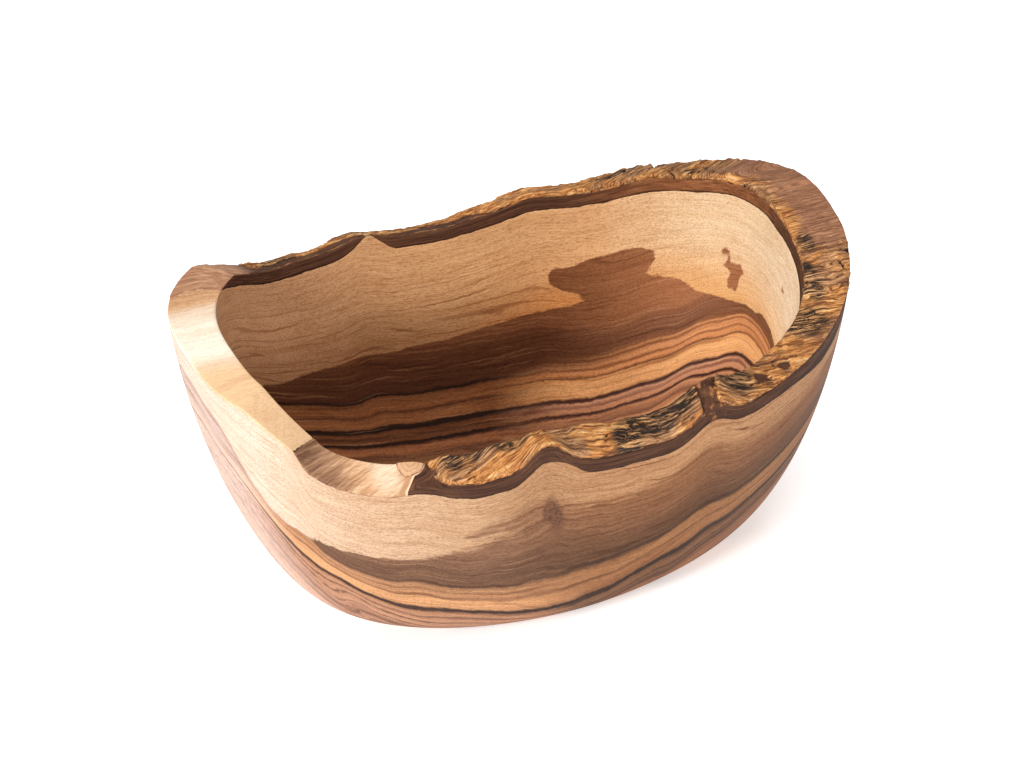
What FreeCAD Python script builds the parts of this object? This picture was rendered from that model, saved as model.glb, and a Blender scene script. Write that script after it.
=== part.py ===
"""Natural-edge wooden yarn bowl, carved from half a log.

Frame: millimetres, +Z up. The origin is on the flat foot that the bowl rests on. X runs
along the log and the bowl's long side, with the sanded, pale end towards -X. The wall with
the lower rim is at -Y and the wall with the higher rim is at +Y.

The rim follows the round outside of the log, so the wood, the inner bark and the crust of
outer bark lie on it as three layers. Each layer is its own solid, cut from the same hollow
blank by the surfaces between the layers.
"""
import FreeCAD, Part
import math
import os

# ---- driving dimensions, mm ------------------------------------------------------------
LENGTH = 220.0            # overall, end to end, at the rim
RIM_HEIGHT = 105.5        # the sanded flat at the -X end, above the foot
WALL_HEIGHT = 123.0       # where the flared outer wall would stand upright
FULL_HALF_WIDTH = 65.2    # half width of the outer wall at WALL_HEIGHT
FOOT_HALF_LENGTH = 64.5
FOOT_HALF_WIDTH = 34.4
FOOT_OFFSET = (5.2, -1.9)  # the foot's centre, away from the rim's centre
FLOOR_THICKNESS = 15.0
CAVITY_HALF_LENGTH = 95.0  # of the hollow at WALL_HEIGHT
CAVITY_HALF_WIDTH = 55.3
FLOOR_HALF_LENGTH = 50.0   # of the hollow's flat floor
FLOOR_HALF_WIDTH = 24.0
CAVITY_OFFSET = (-1.7, -3.1)

LOG_RADIUS = 105.0        # to the outside of the inner bark
LOG_AXIS_Y = 14.4         # the log's pith runs along X at this Y and Z
LOG_AXIS_Z = -1.0
LOG_TAPER = 0.075         # the low side sinks by this much per millimetre of X
LOW_SIDE_RAISE = 2.9      # and stands this much above the round log at the middle
INNER_BARK = 4.3          # thickness, measured square to the log's surface
CRUST = 2.6               # thickness of the outer bark
SANDED_SKIN = 1.2         # inner bark left on the sanded low corner
PALE_RAMP_DROP = 11.0     # the pale end's sanded flat rolls down by this much at the low corner

KNOT_RADIUS = 4.4         # the dead branch stub in the low rim
KNOT_DEPTH = 13.0
KNOT_CENTRE = (-58.5, -54.6)

# ---- shape of the walls ------------------------------------------------------------------
FLARE_START = 1.83        # how fast the wall leaves the foot
FLARE_END = 1.775         # how upright it is near the rim
FOOT_ROUNDNESS = 1.8      # superellipse exponents: 2 is an ellipse, more is squarer
RIM_ROUNDNESS = 2.8
FLOOR_ROUNDNESS = 2.2
CAVITY_ROUNDNESS_LEFT = 2.8
CAVITY_ROUNDNESS_RIGHT = 3.3
BODY_TAPER = 0.075        # the bowl is wider towards -X by this share of its half length
CAVITY_TAPER = 0.125
SECTION_COUNT = 12        # sections in each lofted wall
SECTION_POINTS = 56       # points around each section

# ---- relief of the log's surface -----------------------------------------------------------
# Each swelling is (centre along X, height, spread), in mm.
LOW_SIDE_SWELLINGS = (
    (-16.5, 12.0, 9.0),   # ridge over a branch, on the low side
    (42.0, 6.5, 8.0),     # smaller swelling beside the break in the crust
    (-56.0, 2.7, 7.0),    # rise beside the dead branch stub
    (-82.0, -3.2, 12.0),  # hollow before the pale end
)
HIGH_SIDE_SWELLINGS = (
    (-33.0, 2.6, 8.0),    # the same branch ridge, where it reaches the high side
    (-5.0, -1.2, 12.0),
    (26.0, 2.2, 10.0),
    (65.0, 1.5, 9.0),
)
# The wood's own relief under the bark, which the inner bark's thickness makes up for.
LOW_SIDE_WOOD = (
    (-8.5, 2.6, 5.0),
    (90.0, -4.0, 12.0),
)
HIGH_SIDE_WOOD = (
    (-29.5, 5.0, 5.5),    # a knot pushes the wood up into the bark
)
HIGH_END_RISE = (8.0, 62.0, 94.0)    # height, and the stretch of -X over which it grows
MIDDLE_END_RISE = (5.0, -8.0, 25.0)  # more height in the middle of that end: centre, spread in Y
LOW_END_RISE = (12.0, 41.0, 53.0)    # height, and the stretch of Y - X over which it grows
PALE_RAMP = (47.0, 72.0, 1.3)        # Y - X at the ramp's foot and head, and its curve
PALE_RAMP_EDGE = 43.0                # Y - X below which the ramp isn't cut
SIDE_BLEND = (5.0, 50.0)             # distance from the middle over which a side's relief grows

# ---- breaks in the bark --------------------------------------------------------------------
LOW_CRUST_START = -51.0   # X where the crust begins on the low side
SANDING_EDGE = ((-53.8, -53.0), (-62.5, -59.5))   # slanting edge of the sanded corner, in plan
HIGH_CRUST_START = -75.0  # X where the crust begins on the high side
LOW_CRUST_BREAK = (36.0, 39.0)   # gap between two crust plates on the low side
HIGH_CRUST_BREAK = (70.0, 72.0)  # gap between two crust plates on the high side

SURFACE_X = 124.0         # half sizes of the sheets that separate the layers
SURFACE_Y = 78.0
SURFACE_STEP_X = 4.0
SURFACE_STEP_Y = 6.0
TALL = 200.0              # larger than the whole bowl, for cutting tools


def smooth(value, low, high):
    """0 below low, 1 above high, with a smooth S between."""
    share = min(max((value - low) / (high - low), 0.0), 1.0)
    return share * share * (3.0 - 2.0 * share)


def swell(x, swellings):
    return sum(height * math.exp(-((x - centre) / spread) ** 2) for centre, height, spread in swellings)


# ---- surfaces of the log -------------------------------------------------------------------
def log_relief(x, y):
    """Height of the log's real surface above the plain round log."""
    low_height, low_from, low_to = LOW_END_RISE
    high_height, high_from, high_to = HIGH_END_RISE
    middle_height, middle_y, middle_spread = MIDDLE_END_RISE
    low = swell(x, LOW_SIDE_SWELLINGS) - LOG_TAPER * x + LOW_SIDE_RAISE
    low += low_height * smooth(y - x, low_from, low_to)
    high = swell(x, HIGH_SIDE_SWELLINGS)
    end = smooth(-x, high_from, high_to)
    middle = middle_height * math.exp(-((y - middle_y) / middle_spread) ** 2)
    low_share = smooth(-y, *SIDE_BLEND)
    high_share = smooth(y, *SIDE_BLEND)
    return low_share * low + high_share * high + end * (middle + (1.0 - low_share) * high_height)


def layer_height(x, y, depth):
    """Height of the surface that lies depth below the outside of the inner bark."""
    radius = LOG_RADIUS - depth
    return LOG_AXIS_Z + math.sqrt(radius ** 2 - (y - LOG_AXIS_Y) ** 2) + log_relief(x, y)


def crust_top(x, y):
    return layer_height(x, y, -CRUST)


def inner_bark_top(x, y):
    return layer_height(x, y, 0.0)


def wood_top(x, y):
    low = swell(x, LOW_SIDE_WOOD) * smooth(-y, *SIDE_BLEND)
    high = swell(x, HIGH_SIDE_WOOD) * smooth(y, *SIDE_BLEND)
    return layer_height(x, y, INNER_BARK) + low + high


def skin_top(x, y):
    """The sanded low corner beside the knot, where a skin of inner bark is left."""
    return wood_top(x, y) + SANDED_SKIN


def ramp_top(x, y):
    """The sanded low corner of the pale end, which goes down into the wood."""
    foot, head, curve = PALE_RAMP
    share = max(0.0, (head - (y - x)) / (head - foot))
    return RIM_HEIGHT - PALE_RAMP_DROP * share ** curve


def solid_below(height_of):
    """Everything under a height field, as one tall solid."""
    columns = int(2 * SURFACE_X / SURFACE_STEP_X) + 1
    rows = int(2 * SURFACE_Y / SURFACE_STEP_Y) + 1
    points = []
    for i in range(columns):
        x = -SURFACE_X + i * SURFACE_STEP_X
        row = []
        for j in range(rows):
            y = -SURFACE_Y + j * SURFACE_STEP_Y
            row.append(FreeCAD.Vector(x, y, height_of(x, y)))
        points.append(row)
    sheet = Part.BSplineSurface()
    sheet.interpolate(points)
    return sheet.toShape().extrude(FreeCAD.Vector(0, 0, -TALL))


def block(x_low, x_high, y_low, y_high, z_low=-TALL, z_high=TALL):
    corner = FreeCAD.Vector(x_low, y_low, z_low)
    return Part.makeBox(x_high - x_low, y_high - y_low, z_high - z_low, corner)


def prism(plan):
    """A tall solid with this outline, seen from above."""
    corners = [FreeCAD.Vector(x, y, 0.0) for x, y in plan + plan[:1]]
    return Part.Face(Part.makePolygon(corners)).extrude(FreeCAD.Vector(0, 0, TALL))


def sand(shape):
    """Take off the low corner, from the knot to the pale end, as the sanding does."""
    inner, outer = SANDING_EDGE
    skin_plan = [(-TALL, 0.0), (inner[0], 0.0), inner, outer, (outer[0], -TALL), (-TALL, -TALL)]
    ramp_plan = [(-TALL, 0.0), (-PALE_RAMP_EDGE, 0.0), (-TALL, PALE_RAMP_EDGE - TALL)]
    over_skin = prism(skin_plan).cut(solid_below(skin_top))
    over_ramp = prism(ramp_plan).cut(solid_below(ramp_top))
    return shape.cut(over_skin).cut(over_ramp)


# ---- the hollow blank ----------------------------------------------------------------------
def flare(share):
    """0 at the foot, 1 where the wall stands upright."""
    return (1.0 - abs(1.0 - min(share, 1.0)) ** FLARE_START) ** (1.0 / FLARE_END)


def section(z, half_length, half_width, left, right, taper, centre):
    """One closed, level curve: a superellipse, wider towards -X."""
    points = []
    for i in range(SECTION_POINTS):
        angle = 2.0 * math.pi * i / SECTION_POINTS
        cosine = math.cos(angle)
        sine = math.sin(angle)
        power = 2.0 / (left if cosine < 0 else right)
        x = half_length * math.copysign(abs(cosine) ** power, cosine)
        y = half_width * math.copysign(abs(sine) ** power, sine)
        y *= 1.0 - taper * x / (LENGTH / 2.0)
        points.append(FreeCAD.Vector(x + centre[0], y + centre[1], z))
    curve = Part.BSplineCurve()
    curve.interpolate(Points=points, PeriodicFlag=True)
    return Part.Wire([curve.toShape()])


def even_levels(bottom, top, width_of):
    """Heights that cut the wall's profile into stretches of equal length."""
    steps = 2000
    heights = [bottom + (top - bottom) * (i / steps) ** 2 for i in range(steps + 1)]
    lengths = [0.0]
    for low, high in zip(heights, heights[1:]):
        lengths.append(lengths[-1] + math.hypot(high - low, width_of(high) - width_of(low)))
    levels = []
    index = 0
    for k in range(SECTION_COUNT):
        wanted = lengths[-1] * k / (SECTION_COUNT - 1)
        while lengths[index] < wanted - 1e-9 and index < steps:
            index += 1
        levels.append(heights[index])
    return levels


def between(low, high, share):
    return low + (high - low) * share


def outer_solid():
    rim_flare = flare(RIM_HEIGHT / WALL_HEIGHT)
    full_half_length = FOOT_HALF_LENGTH + (LENGTH / 2.0 - FOOT_HALF_LENGTH) / rim_flare
    wires = []
    for z in even_levels(0.0, WALL_HEIGHT, lambda h: between(FOOT_HALF_LENGTH, full_half_length,
                                                             flare(h / WALL_HEIGHT))):
        share = flare(z / WALL_HEIGHT)
        roundness = between(FOOT_ROUNDNESS, RIM_ROUNDNESS, share)
        centre = [offset * (1.0 - share) for offset in FOOT_OFFSET]
        wires.append(section(z, between(FOOT_HALF_LENGTH, full_half_length, share),
                             between(FOOT_HALF_WIDTH, FULL_HALF_WIDTH, share),
                             roundness, roundness, BODY_TAPER, centre))
    return Part.makeLoft(wires, True, False)


def cavity_solid():
    def share_at(z):
        return flare((z - FLOOR_THICKNESS) / (WALL_HEIGHT - FLOOR_THICKNESS))

    wires = []
    for z in even_levels(FLOOR_THICKNESS, WALL_HEIGHT + 1.0,
                         lambda h: between(FLOOR_HALF_LENGTH, CAVITY_HALF_LENGTH, share_at(h))):
        share = share_at(z)
        wires.append(section(z, between(FLOOR_HALF_LENGTH, CAVITY_HALF_LENGTH, share),
                             between(FLOOR_HALF_WIDTH, CAVITY_HALF_WIDTH, share),
                             between(FLOOR_ROUNDNESS, CAVITY_ROUNDNESS_LEFT, share),
                             between(FLOOR_ROUNDNESS, CAVITY_ROUNDNESS_RIGHT, share),
                             CAVITY_TAPER, CAVITY_OFFSET))
    return Part.makeLoft(wires, True, False)


# ---- the knot ------------------------------------------------------------------------------
def knot_cylinder():
    """The stub grows out of the log's pith, so its axis points from there to the rim."""
    x, y = KNOT_CENTRE
    outward = FreeCAD.Vector(0, y - LOG_AXIS_Y, wood_top(x, y) - LOG_AXIS_Z)
    outward.normalize()
    top = FreeCAD.Vector(x, y, skin_top(x, y))
    start = top - outward * KNOT_DEPTH
    return Part.makeCylinder(KNOT_RADIUS, 2.0 * KNOT_DEPTH, start, outward)


# ---- build ---------------------------------------------------------------------------------
def only_solids(shape, smallest=1.0):
    """Drop any sliver that a cut left behind, smaller than this many cubic millimetres."""
    solids = [solid for solid in shape.Solids if solid.Volume > smallest]
    return solids[0] if len(solids) == 1 else Part.makeCompound(solids)


def build():
    blank = outer_solid().cut(cavity_solid())
    under_wood = solid_below(wood_top)
    under_inner_bark = solid_below(inner_bark_top)
    under_crust = solid_below(crust_top)
    level = block(-TALL, TALL, -TALL, TALL, -TALL, RIM_HEIGHT)

    carved = blank.common(level)
    wood = sand(carved.common(under_wood))
    inner_bark = sand(carved.common(under_inner_bark).cut(under_wood))
    knot = knot_cylinder().common(wood.fuse(inner_bark))
    crust = blank.common(under_crust).cut(under_inner_bark)

    low_break_start, low_break_end = LOW_CRUST_BREAK
    high_break_start, high_break_end = HIGH_CRUST_BREAK
    front = block(LOW_CRUST_START, low_break_start, -TALL, 0.0)
    end = block(low_break_end, TALL, -TALL, 0.0).fuse(block(high_break_end, TALL, 0.0, TALL))
    back = block(HIGH_CRUST_START, high_break_start, 0.0, TALL)
    return {
        "wood_body": wood.cut(knot),
        "inner_bark": inner_bark.cut(knot),
        "bark_crust_front": crust.common(front),
        "bark_crust_end": crust.common(end.removeSplitter()),
        "bark_crust_back": crust.common(back),
        "rim_knot": knot,
    }


os.makedirs("parts", exist_ok=True)
for name, shape in build().items():
    piece = only_solids(shape)
    piece.exportStep("parts/" + name + ".step")
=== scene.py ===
"""Looks for the natural-edge wooden yarn bowl: wood, inner bark, crust of outer bark and knot.

Every shape is worked out in millimetres, from the same surfaces of the log as the CAD part,
and written to its mesh in metres. The pattern of the wood is laid out in the log's own
coordinates: the distance along the wall and the depth under the log's surface.
"""
import bpy
import math
import numpy as np
from mathutils import Matrix, Vector


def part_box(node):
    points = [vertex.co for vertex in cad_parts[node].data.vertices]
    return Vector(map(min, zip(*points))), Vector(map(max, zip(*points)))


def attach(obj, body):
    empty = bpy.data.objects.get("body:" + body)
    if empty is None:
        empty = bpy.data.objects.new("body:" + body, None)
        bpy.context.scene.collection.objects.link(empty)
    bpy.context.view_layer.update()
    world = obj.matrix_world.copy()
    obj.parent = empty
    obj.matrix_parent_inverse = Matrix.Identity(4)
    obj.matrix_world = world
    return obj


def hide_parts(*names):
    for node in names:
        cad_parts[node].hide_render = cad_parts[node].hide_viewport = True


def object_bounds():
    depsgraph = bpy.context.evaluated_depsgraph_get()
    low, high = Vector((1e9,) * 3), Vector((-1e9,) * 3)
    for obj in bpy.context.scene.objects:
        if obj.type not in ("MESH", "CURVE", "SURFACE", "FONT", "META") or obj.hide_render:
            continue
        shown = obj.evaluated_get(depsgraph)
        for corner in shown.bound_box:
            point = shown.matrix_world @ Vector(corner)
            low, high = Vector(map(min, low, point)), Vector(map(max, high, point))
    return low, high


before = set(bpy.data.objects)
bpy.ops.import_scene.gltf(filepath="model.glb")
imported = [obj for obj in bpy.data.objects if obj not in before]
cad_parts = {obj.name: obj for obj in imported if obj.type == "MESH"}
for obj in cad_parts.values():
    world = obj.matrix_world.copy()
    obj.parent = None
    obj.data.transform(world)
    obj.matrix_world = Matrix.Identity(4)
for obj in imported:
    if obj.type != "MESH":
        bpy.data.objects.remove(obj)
CAD_BOX = [list(corner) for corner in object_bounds()]
MM = 0.001

# ---- dimensions of the bowl, mm: named as in the CAD part, and with its values --------------
LENGTH = (CAD_BOX[1][0] - CAD_BOX[0][0]) / MM
RIM_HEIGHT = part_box("wood_body")[1].z / MM
WALL_HEIGHT = 123.0
FULL_HALF_WIDTH = 65.2
FOOT_HALF_LENGTH = 64.5
FOOT_HALF_WIDTH = 34.4
FOOT_OFFSET = (5.2, -1.9)
FLOOR_THICKNESS = 15.0
CAVITY_HALF_LENGTH = 95.0
CAVITY_HALF_WIDTH = 55.3
FLOOR_HALF_LENGTH = 50.0
FLOOR_HALF_WIDTH = 24.0
CAVITY_OFFSET = (-1.7, -3.1)
FLARE_START = 1.83
FLARE_END = 1.775
FOOT_ROUNDNESS = 1.8
RIM_ROUNDNESS = 2.8
FLOOR_ROUNDNESS = 2.2
CAVITY_ROUNDNESS_LEFT = 2.8
CAVITY_ROUNDNESS_RIGHT = 3.3
BODY_TAPER = 0.075
CAVITY_TAPER = 0.125

LOG_RADIUS = 105.0
LOG_AXIS_Y = 14.4
LOG_AXIS_Z = -1.0
LOG_TAPER = 0.075
LOW_SIDE_RAISE = 2.9
INNER_BARK = 4.3
CRUST = 1.9
SANDED_SKIN = 1.2
BARK_THINNING = (2.6, -55.0, -46.0)
PALE_RAMP_DROP = 11.0
KNOT_RADIUS = 4.4
KNOT_CENTRE = (-57.9, -52.8)
LOW_SIDE_SWELLINGS = ((-16.5, 12.0, 9.0), (42.0, 6.5, 8.0), (-56.0, 2.7, 7.0), (-82.0, -3.2, 12.0))
LOW_EDGE_SWELLINGS = ((-32.0, 2.1, 5.0), (-16.2, -6.5, 7.9), (-1.5, 2.2, 5.7), (24.0, -1.0, 10.0))
LOW_EDGE_BLEND = (-65.0, -57.0)
HIGH_SIDE_SWELLINGS = ((-33.0, 2.6, 8.0), (-5.0, -1.2, 12.0), (26.0, 2.2, 10.0), (65.0, 1.5, 9.0))
LOW_SIDE_WOOD = ((-8.5, 2.6, 5.0), (90.0, -4.0, 12.0))
HIGH_SIDE_WOOD = ((-28.8, 5.2, 4.7),)   # the one exception: a little narrower than the CAD part's
HIGH_END_RISE = (8.0, 62.0, 94.0)
MIDDLE_END_RISE = (5.0, -8.0, 25.0)
LOW_END_RISE = (12.0, 41.0, 53.0)
PALE_RAMP = (47.0, 72.0, 1.3)
PALE_RAMP_EDGE = 43.0
SIDE_BLEND = (5.0, 50.0)
SANDING_EDGE = ((-53.8, -53.0), (-62.5, -59.5))
LOW_CRUST_START = ((-52.0, -50.0), (-51.0, -58.0), (-44.0, -67.0))
LOW_CRUST_BREAK = (38.5, 44.5)
HIGH_CRUST_START = -75.0
HIGH_CRUST_BREAK = (70.0, 72.0)

# ---- details of the meshes, mm ---------------------------------------------------------------
WOOD_COLUMNS = 600
WOOD_ROWS = (62, 13, 58)       # up the outside, across the rim and down the inside
FINE_STEP = 0.42               # between the columns of a bark piece
RULER_HEIGHT = 95.0            # where distances along a wall are measured
RING_SHARES = (0.02, 0.15, 0.3, 0.45, 0.6, 0.75, 0.88, 0.96)   # rows across the foot and the floor
TOWARDS_RIM = 1.75             # the wood's rows get closer by this power towards the floor and foot
SHARP_EDGE = 0.05              # radius of the wood's edge under the bark
SANDED_EDGE = 0.8              # and where it is bare
STEP_DOWN = (0.25, 6.0)        # height left and length where the bark comes down to the sanded corner
SUNK = 0.4                     # how deep a bark piece's foot sits in the layer below
BURIED = 0.3                   # and how deep its top is where it has no thickness
BARK_WALL_ROWS = 7
KNOT_COLUMNS = 96
KNOT_PROUD = 0.04              # the knot is cut off flush with the walls, apart from this
KNOT_SLANT = 0.77              # it stands square to the sloping rim, so from above it is an oval
TURN = 2.0 * math.pi


# ---- small functions on arrays -----------------------------------------------------------
def smooth(value, low, high):
    share = np.clip((value - low) / (high - low), 0.0, 1.0)
    return share * share * (3.0 - 2.0 * share)


def swell(x, swellings):
    return sum(height * np.exp(-((x - centre) / spread) ** 2) for centre, height, spread in swellings)


def between(low, high, share):
    return low + (high - low) * share


def through(x, points):
    """A smooth curve through a few points, level beyond its ends."""
    xs, ys = np.array(points, float).T
    slopes = np.gradient(ys, xs)
    slopes[0] = slopes[-1] = 0.0
    x = np.clip(x, xs[0], xs[-1])
    i = np.clip(np.searchsorted(xs, x, side="right") - 1, 0, len(xs) - 2)
    step = xs[i + 1] - xs[i]
    u = (x - xs[i]) / step
    return (ys[i] * (1 + 2 * u) * (1 - u) ** 2 + step * slopes[i] * u * (1 - u) ** 2
            + ys[i + 1] * u * u * (3 - 2 * u) - step * slopes[i + 1] * u * u * (1 - u))


def outline_distance(x, y, corners):
    """Distance to a closed outline: above 0 inside it, below 0 outside."""
    corners = np.array(corners, float)
    nearest = np.full(x.shape, 1e9)
    inside = np.zeros(x.shape, bool)
    for (ax, ay), (bx, by) in zip(corners, np.roll(corners, -1, axis=0)):
        dx, dy = bx - ax, by - ay
        share = np.clip(((x - ax) * dx + (y - ay) * dy) / (dx * dx + dy * dy), 0.0, 1.0)
        nearest = np.minimum(nearest, np.hypot(x - ax - share * dx, y - ay - share * dy))
        crosses = (ay > y) != (by > y)
        inside ^= crosses & (x < ax + (y - ay) * dx / (dy if dy else 1.0))
    return np.where(inside, nearest, -nearest)


def scatter(ix, iy, iz, seed):
    """A fixed number from -1 to 1 for each lattice point."""
    n = (ix * 374761393 + iy * 668265263 + iz * 2147483647 + seed * 974634777) & 0xFFFFFFFF
    n = ((n ^ (n >> 13)) * 1274126177) & 0xFFFFFFFF
    n = ((n ^ (n >> 15)) * 2246822519) & 0xFFFFFFFF
    return (n ^ (n >> 16)) / 2147483647.5 - 1.0


def noise(x, y, seed, z=0.0):
    """Smooth value noise from -1 to 1, one cell per unit."""
    x, y, z = np.broadcast_arrays(np.asarray(x, float), y, z)
    cell = [np.floor(v).astype(np.int64) for v in (x, y, z)]
    u, v, w = [f * f * f * (f * (f * 6 - 15) + 10) for f in (x - cell[0], y - cell[1], z - cell[2])]
    total = 0.0
    for i in (0, 1):
        for j in (0, 1):
            for k in (0, 1):
                weight = (u if i else 1 - u) * (v if j else 1 - v) * (w if k else 1 - w)
                total = total + weight * scatter(cell[0] + i, cell[1] + j, cell[2] + k, seed)
    return total


def rough_noise(x, y, octaves, seed, z=0.0):
    total, size, scale = 0.0, 0.0, 1.0
    for octave in range(octaves):
        total = total + noise(x * scale, y * scale, seed + 17 * octave, z * scale) / scale
        size += 1.0 / scale
        scale *= 2.03
    return total / size


def ridges(x, y, octaves, seed):
    """1 on sharp crests, 0 in the hollows between them."""
    total, size, scale = 0.0, 0.0, 1.0
    for octave in range(octaves):
        total = total + (1.0 - np.abs(noise(x * scale, y * scale, seed + 31 * octave)) * 2.0) / scale
        size += 1.0 / scale
        scale *= 2.1
    return np.clip(total / size, -1.0, 1.0)


# ---- surfaces of the log ---------------------------------------------------------------
def log_relief(x, y):
    low_height, low_from, low_to = LOW_END_RISE
    high_height, high_from, high_to = HIGH_END_RISE
    middle_height, middle_y, middle_spread = MIDDLE_END_RISE
    low = swell(x, LOW_SIDE_SWELLINGS) - LOG_TAPER * x + LOW_SIDE_RAISE
    low = low + low_height * smooth(y - x, low_from, low_to)
    low = low + swell(x, LOW_EDGE_SWELLINGS) * smooth(y, *LOW_EDGE_BLEND)
    high = swell(x, HIGH_SIDE_SWELLINGS)
    end = smooth(-x, high_from, high_to)
    middle = middle_height * np.exp(-((y - middle_y) / middle_spread) ** 2)
    low_share = smooth(-y, *SIDE_BLEND)
    high_share = smooth(y, *SIDE_BLEND)
    return low_share * low + high_share * high + end * (middle + (1.0 - low_share) * high_height)


def layer_height(x, y, depth):
    return LOG_AXIS_Z + np.sqrt((LOG_RADIUS - depth) ** 2 - (y - LOG_AXIS_Y) ** 2) + log_relief(x, y)


def log_depth(x, y, z):
    """Depth under the outside of the inner bark."""
    return LOG_RADIUS - np.hypot(z - LOG_AXIS_Z - log_relief(x, y), y - LOG_AXIS_Y)


def bark_waver(x, y):
    """The line between two layers wanders a little."""
    return 0.35 * noise(x / 4.1, y / 4.1, 5) + 0.18 * noise(x / 1.3, y / 1.3, 6)


def thinning(x, y):
    loss, thin_x, full_x = BARK_THINNING
    return loss * (1.0 - smooth(x, thin_x, full_x)) * smooth(-y, *SIDE_BLEND)


def past_sanding_edge(x, y):
    """Distance into the sanded low corner, measured along X, or into the round knot."""
    (ax, ay), (bx, by) = SANDING_EDGE
    middle_x, middle_y = KNOT_CENTRE
    into_corner = np.clip(ax + (y - ay) * (bx - ax) / (by - ay), bx, middle_x + 2.0) - x
    into_knot = KNOT_RADIUS - np.hypot(x - middle_x, (y - middle_y) / KNOT_SLANT)
    return np.where(y < 0, np.maximum(into_corner, into_knot), -LENGTH)


def sanded_skin(x, y):
    """Height of the thin skin of bark that the sanding left on the corner."""
    return layer_height(x, y, INNER_BARK) + swell(x, LOW_SIDE_WOOD) * smooth(-y, *SIDE_BLEND) + SANDED_SKIN


def inner_bark_top(x, y):
    bark = layer_height(x, y, 0.0) - thinning(x, y) + 0.6 * bark_waver(x, y)
    left, length = STEP_DOWN
    drop = np.maximum(bark - sanded_skin(x, y) - left, 0.0)
    return bark - drop * (1.0 - smooth(-past_sanding_edge(x, y), 0.0, length))


def wood_top(x, y):
    low = swell(x, LOW_SIDE_WOOD) * smooth(-y, *SIDE_BLEND)
    high = swell(x, HIGH_SIDE_WOOD) * smooth(y, *SIDE_BLEND)
    return layer_height(x, y, INNER_BARK) + low + high + 0.7 * bark_waver(x + 40.0, y)


def sanded_height(x, y):
    """Height of the sanded rim: the flat, the ramp at its low corner and the corner by the knot."""
    foot, head, curve = PALE_RAMP
    share = np.maximum(0.0, (head - (y - x)) / (head - foot))
    ramp = RIM_HEIGHT - PALE_RAMP_DROP * share ** curve
    height = np.full(np.shape(x), RIM_HEIGHT)
    height = np.where((y - x > PALE_RAMP_EDGE) & (y < 0), np.minimum(height, ramp), height)
    return np.where(past_sanding_edge(x, y) > 0.0, np.minimum(height, sanded_skin(x, y)), height)


def wood_surface(x, y):
    return np.minimum(wood_top(x, y), sanded_height(x, y))


# ---- walls of the bowl --------------------------------------------------------------------
def flare(share):
    return (1.0 - np.abs(1.0 - np.clip(share, 0.0, 1.0)) ** FLARE_START) ** (1.0 / FLARE_END)


def level_curve(t, half_length, half_width, left, right, taper, centre_x, centre_y):
    cosine, sine = np.cos(t), np.sin(t)
    power = 2.0 / np.where(cosine < 0, left, right)
    x = half_length * np.sign(cosine) * np.abs(cosine) ** power
    y = half_width * np.sign(sine) * np.abs(sine) ** power
    return x + centre_x, y * (1.0 - taper * x / (LENGTH / 2.0)) + centre_y


def outer_wall(t, z):
    share = flare(z / WALL_HEIGHT)
    full = FOOT_HALF_LENGTH + (LENGTH / 2.0 - FOOT_HALF_LENGTH) / flare(RIM_HEIGHT / WALL_HEIGHT)
    roundness = between(FOOT_ROUNDNESS, RIM_ROUNDNESS, share)
    return level_curve(t, between(FOOT_HALF_LENGTH, full, share),
                       between(FOOT_HALF_WIDTH, FULL_HALF_WIDTH, share), roundness, roundness,
                       BODY_TAPER, FOOT_OFFSET[0] * (1 - share), FOOT_OFFSET[1] * (1 - share))


def inner_wall(t, z):
    share = flare((z - FLOOR_THICKNESS) / (WALL_HEIGHT - FLOOR_THICKNESS))
    return level_curve(t, between(FLOOR_HALF_LENGTH, CAVITY_HALF_LENGTH, share),
                       between(FLOOR_HALF_WIDTH, CAVITY_HALF_WIDTH, share),
                       between(FLOOR_ROUNDNESS, CAVITY_ROUNDNESS_LEFT, share),
                       between(FLOOR_ROUNDNESS, CAVITY_ROUNDNESS_RIGHT, share),
                       CAVITY_TAPER, *CAVITY_OFFSET)


def meet(wall, t, height_of):
    """Height at which a wall meets a height field, for each angle."""
    low, high = np.full(t.shape, 30.0), np.full(t.shape, WALL_HEIGHT)
    for _ in range(30):
        middle = (low + high) / 2.0
        above = middle > height_of(*wall(t, middle))
        low, high = np.where(above, low, middle), np.where(above, middle, high)
    return (low + high) / 2.0


def wall_ruler(wall, middle):
    """Angles and the distance along the wall from the angle called middle, growing towards +X."""
    t = np.linspace(middle - math.pi, middle + math.pi, 8001)
    x, y = wall(t, RULER_HEIGHT)
    along = np.concatenate([[0.0], np.cumsum(np.hypot(np.diff(x), np.diff(y)))])
    along -= along[len(along) // 2]
    return t, along if middle > math.pi else -along


def along_wall(wall, t, low_side):
    """Distance along a wall from the middle of its low or high side."""
    middle = (1.5 if low_side else 0.5) * math.pi
    angles, along = wall_ruler(wall, middle)
    return np.interp(np.mod(t - middle + math.pi, TURN) + middle - math.pi, angles, along)


def even_angles(wall, start, end, count=None):
    """Angles that are evenly spaced along a wall, by default FINE_STEP apart."""
    fine = np.linspace(start, end, 8001)
    x, y = wall(fine, RULER_HEIGHT)
    along = np.concatenate([[0.0], np.cumsum(np.hypot(np.diff(x), np.diff(y)))])
    count = count or int(along[-1] / FINE_STEP)
    return np.interp(np.linspace(0.0, along[-1], count), along, fine)


def angle_at(wall, x_wanted, low_side):
    """Angle at which a long side of a wall has this X."""
    t = np.linspace(math.pi, TURN, 4001) if low_side else np.linspace(math.pi, 0.0, 4001)
    x, _ = wall(t, RULER_HEIGHT)
    return float(np.interp(x_wanted, x, t))


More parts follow.
